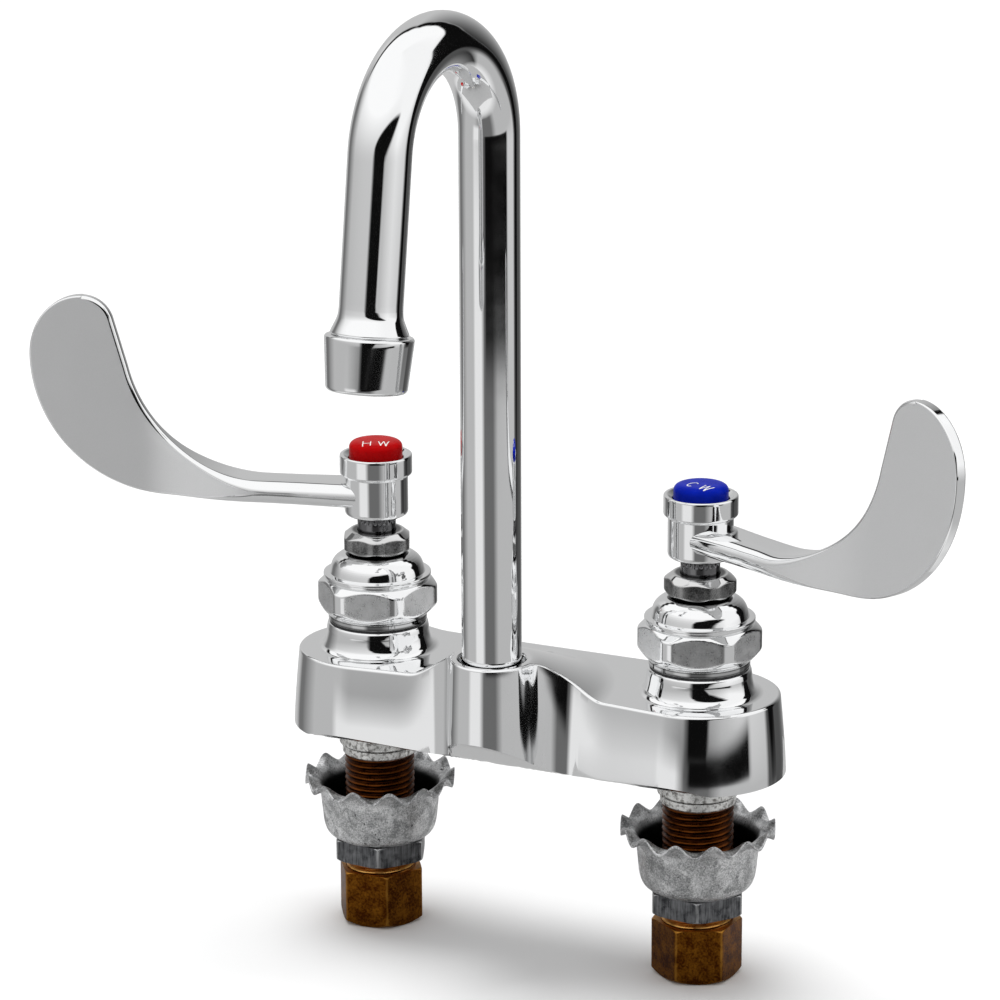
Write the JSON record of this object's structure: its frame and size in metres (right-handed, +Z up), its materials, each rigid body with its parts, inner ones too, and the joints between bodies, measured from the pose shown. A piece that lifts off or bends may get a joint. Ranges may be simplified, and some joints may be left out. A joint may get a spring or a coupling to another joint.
{
  "type": "swivel gooseneck faucet",
  "caption": "Deck faucet with a swivel gooseneck spout, wrist-blade handles and threaded shanks with mounting hardware.",
  "frame": {"origin": "middle of the deck body's underside, halfway between the two valves", "axes": "+X from the hot valve to the cold valve, -Y towards the user, +Z up"},
  "size_m": [0.2928, 0.1288, 0.2811],
  "materials": {
    "chrome": "polished plate",
    "satin_chrome": "satin plate",
    "red_plastic": "glossy",
    "blue_plastic": "glossy",
    "white_plastic": "moulded",
    "brass": "machined",
    "aged_brass": "tumbled, unplated",
    "zinc": "zinc plated sheet",
    "steel": "machined",
    "rubber": "black"
  },
  "bodies": {
    "base": {"deck_body": "chrome", "spout_snap_ring": "steel", "hot_packing_nut": "steel", "hot_packing_ring": "rubber", "hot_packing_washer": "brass", "hot_bonnet": "chrome", "hot_bonnet_washer": "rubber", "hot_valve_seat": "brass", "hot_shank": "brass", "hot_cup_washer": "zinc", "hot_locknut": "steel", "hot_coupling_nut": "aged_brass", "hot_riser_washer": "rubber", "cold_packing_nut": "steel", "cold_packing_ring": "rubber", "cold_packing_washer": "brass", "cold_bonnet": "chrome", "cold_bonnet_washer": "rubber", "cold_valve_seat": "brass", "cold_shank": "brass", "cold_cup_washer": "zinc", "cold_locknut": "steel", "cold_coupling_nut": "aged_brass", "cold_riser_washer": "rubber"},
    "spout": {"gooseneck_tube": "chrome", "swivel_sleeve": "brass", "spout_orings": "rubber", "aerator_housing": "chrome", "aerator_washer": "rubber", "aerator_insert": "white_plastic", "aerator_screen": "steel"},
    "hot_lever": {"hot_handle": "satin_chrome", "hot_index_button": "red_plastic", "hot_handle_screw": "steel", "hot_stem": "satin_chrome"},
    "hot_piston": {"hot_plunger": "brass", "hot_seat_washer": "rubber", "hot_seat_screw": "brass"},
    "cold_lever": {"cold_handle": "satin_chrome", "cold_index_button": "blue_plastic", "cold_handle_screw": "steel", "cold_stem": "satin_chrome"},
    "cold_piston": {"cold_plunger": "brass", "cold_seat_washer": "rubber", "cold_seat_screw": "brass"}
  },
  "joints": [
    {"name": "spout_swivel", "type": "hinge", "parent": "base", "child": "spout", "pos_m": [0, -0.0286, 0.03], "axis": [0, 0, 1], "continuous": true},
    {"name": "hot_turn", "type": "hinge", "parent": "base", "child": "hot_lever", "pos_m": [-0.0508, 0, 0.06], "axis": [0, 0, 1], "range_deg": [0, 90]},
    {"name": "hot_rise", "type": "slide", "parent": "base", "child": "hot_piston", "axis": [0, 0, 1], "range_m": [0, 0.0025]},
    {"name": "cold_turn", "type": "hinge", "parent": "base", "child": "cold_lever", "pos_m": [0.0508, 0, 0.06], "axis": [0, 0, 1], "range_deg": [-90, 0]},
    {"name": "cold_rise", "type": "slide", "parent": "base", "child": "cold_piston", "axis": [0, 0, 1], "range_m": [0, 0.0025]}
  ],
  "couplings": [
    {"joint": "hot_rise", "follows": "hot_turn", "m_per_rad": 0.00159},
    {"joint": "cold_rise", "follows": "cold_turn", "m_per_rad": -0.00159}
  ]
}
